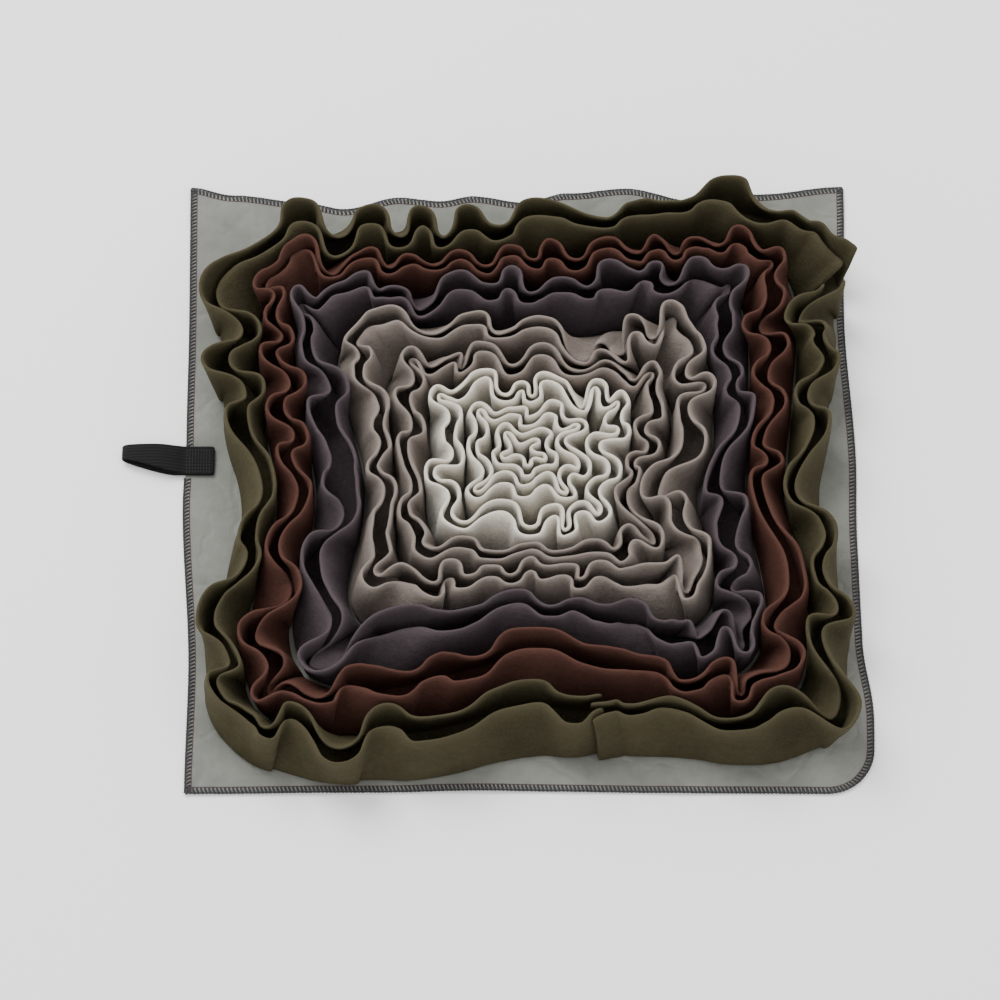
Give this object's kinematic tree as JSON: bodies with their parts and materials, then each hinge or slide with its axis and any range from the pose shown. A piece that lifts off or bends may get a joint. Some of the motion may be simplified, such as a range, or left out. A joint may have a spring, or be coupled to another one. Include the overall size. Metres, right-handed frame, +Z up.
{
  "type": "snuffle mat",
  "caption": "Square snuffle mat: a grey backing cloth with nested rings of ruffled fleece in olive, rust, plum, taupe and cream, and a black webbing hang loop.",
  "frame": {"origin": "centre of the mat's underside, on the surface it lies on", "axes": "+Z up out of the mat towards the ruffles' rims, +Y along the floor to the side away from the camera, the hang loop on the -X side"},
  "size_m": [0.4977, 0.449, 0.045],
  "materials": {
    "grey_backing": "matt woven polyester, faintly creased",
    "black_webbing": "close woven webbing, slight sheen",
    "olive_fleece": "matt short-napped fleece",
    "rust_fleece": "matt short-napped fleece",
    "plum_fleece": "matt short-napped fleece",
    "taupe_fleece": "matt short-napped fleece",
    "cream_fleece": "matt short-napped fleece"
  },
  "bodies": {
    "root": {"backing": "grey_backing", "hang_loop": "black_webbing", "olive_ruffle_left": "olive_fleece", "olive_ruffle_right": "olive_fleece", "rust_ruffle": "rust_fleece", "plum_ruffle": "plum_fleece", "taupe_ruffle_outer": "taupe_fleece", "taupe_ruffle_inner": "taupe_fleece", "cream_ruffle_outer": "cream_fleece", "cream_ruffle_middle": "cream_fleece", "cream_ruffle_core": "cream_fleece"}
  },
  "joints": []
}
